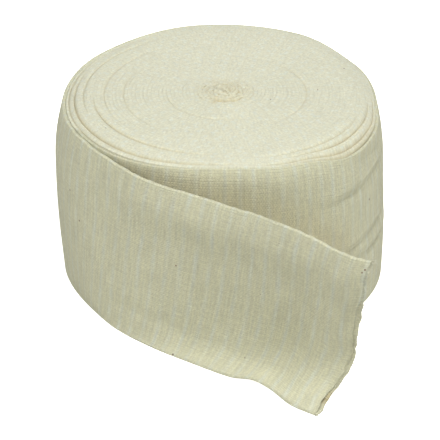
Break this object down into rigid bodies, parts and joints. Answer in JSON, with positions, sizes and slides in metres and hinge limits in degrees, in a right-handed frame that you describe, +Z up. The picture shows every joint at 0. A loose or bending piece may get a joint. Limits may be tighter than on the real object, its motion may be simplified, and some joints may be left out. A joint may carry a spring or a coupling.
{
  "type": "roll of tubular bandage",
  "caption": "Roll of knitted elastic tubular bandage, wound flat on itself and standing on end, with a loose end led off along the surface to an open, ragged cut.",
  "frame": {"origin": "centre of the roll's flat lower end, level with the surface that it stands on", "axes": "+Z up along the roll's axis; the front, where the loose end crosses the roll, faces -Y, and the loose end runs on towards +X"},
  "size_m": [0.1488, 0.202, 0.0901],
  "materials": {
    "knitted_cotton": "matte unbleached cotton knit with faint pale blue-grey elastic threads across its width"
  },
  "bodies": {
    "root": {"wound_roll": "knitted_cotton", "loose_end": "knitted_cotton"}
  },
  "joints": []
}
